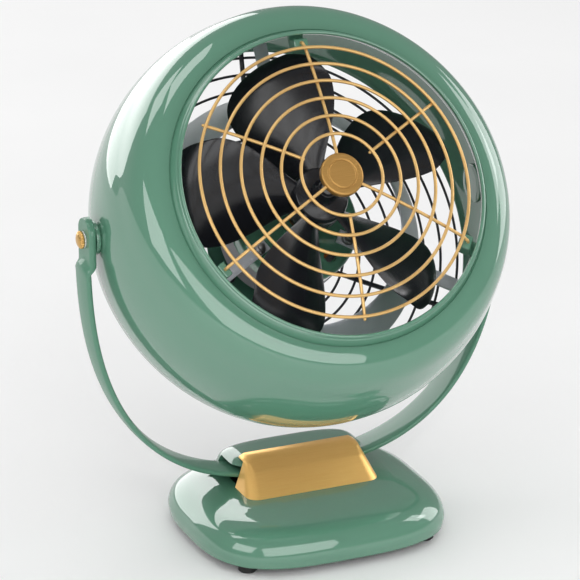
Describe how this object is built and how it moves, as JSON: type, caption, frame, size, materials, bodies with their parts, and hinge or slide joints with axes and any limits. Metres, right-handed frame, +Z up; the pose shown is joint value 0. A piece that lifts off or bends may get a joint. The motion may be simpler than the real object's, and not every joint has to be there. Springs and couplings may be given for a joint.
{
  "type": "desk fan",
  "caption": "Retro desk fan: tilting round metal head with a concentric wire grille, blades on an induction motor, U-shaped yoke and weighted base with a gold cover plate.",
  "frame": {"origin": "On the table under the middle of the fan's box, with the head at its rest tilt.", "axes": "+Z up, -Y the way the fan blows seen from above, +X to the right of a viewer who faces its front."},
  "size_m": [0.3178, 0.241, 0.3664],
  "materials": {
    "green_paint": "glossy enamel",
    "gold_metal": "satin, finely brushed",
    "black_plastic": "gloss",
    "dark_enamel": "satin enamel",
    "grey_steel": "satin",
    "zinc_steel": "zinc plated",
    "iron": "as cast",
    "laminations": "stacked sheet",
    "copper": "enamelled",
    "bronze": "sintered",
    "black_rubber": "matte",
    "white_nylon": "matte"
  },
  "bodies": {
    "stand": {"base_shell": "green_paint", "base_plate": "zinc_steel", "ballast_weight": "iron", "rubber_feet": "black_rubber", "foot_screws": "zinc_steel", "plate_screws": "zinc_steel", "yoke": "green_paint", "yoke_saddle": "dark_enamel", "yoke_clamp": "zinc_steel", "yoke_bolts": "zinc_steel", "yoke_nuts": "zinc_steel", "gold_cover": "gold_metal"},
    "head": {"head_shell": "green_paint", "pivot_bosses": "green_paint", "grille_tabs": "green_paint", "front_housing": "green_paint", "rear_plate": "green_paint", "pivot_screws": "gold_metal", "grille_rings": "gold_metal", "grille_spokes": "gold_metal", "grille_hub_cap": "gold_metal", "rear_guard_rings": "dark_enamel", "rear_guard_ribs": "dark_enamel", "rear_housing": "dark_enamel", "motor_straps": "grey_steel", "deflector_ring": "grey_steel", "grille_back_plate": "zinc_steel", "grille_screw": "zinc_steel", "strap_bolts": "zinc_steel", "strap_nuts": "zinc_steel", "bearing_retainers": "zinc_steel", "rear_plate_screws": "zinc_steel", "switch_nut": "zinc_steel", "capacitor_strap": "zinc_steel", "stator_core": "laminations", "stator_windings": "copper", "front_bearing": "bronze", "rear_bearing": "bronze", "cord_grommet": "black_rubber", "motor_leads": "black_rubber", "pivot_washers": "white_nylon", "speed_switch": "white_nylon", "capacitor": "white_nylon"},
    "rotor": {"rotor_shaft": "zinc_steel", "rotor_core": "laminations", "thrust_washers": "white_nylon", "drive_pin": "zinc_steel", "fan_blade": "black_plastic", "blade_nut": "black_plastic"},
    "knob": {"speed_knob": "gold_metal", "knob_insert": "copper"}
  },
  "joints": [
    {"name": "head_tilt", "type": "hinge", "parent": "stand", "child": "head", "pos_m": [0, 0.0147, 0.229], "axis": [-1, 0, 0], "range_deg": [-45, 52]},
    {"name": "fan_spin", "type": "hinge", "parent": "head", "child": "rotor", "pos_m": [0, 0.00593, 0.22593], "axis": [0, -0.8018, 0.5976], "continuous": true},
    {"name": "speed_knob_turn", "type": "hinge", "parent": "head", "child": "knob", "pos_m": [0, 0.06047, 0.18528], "axis": [0, 0.8018, -0.5976], "range_deg": [0, 135]}
  ]
}
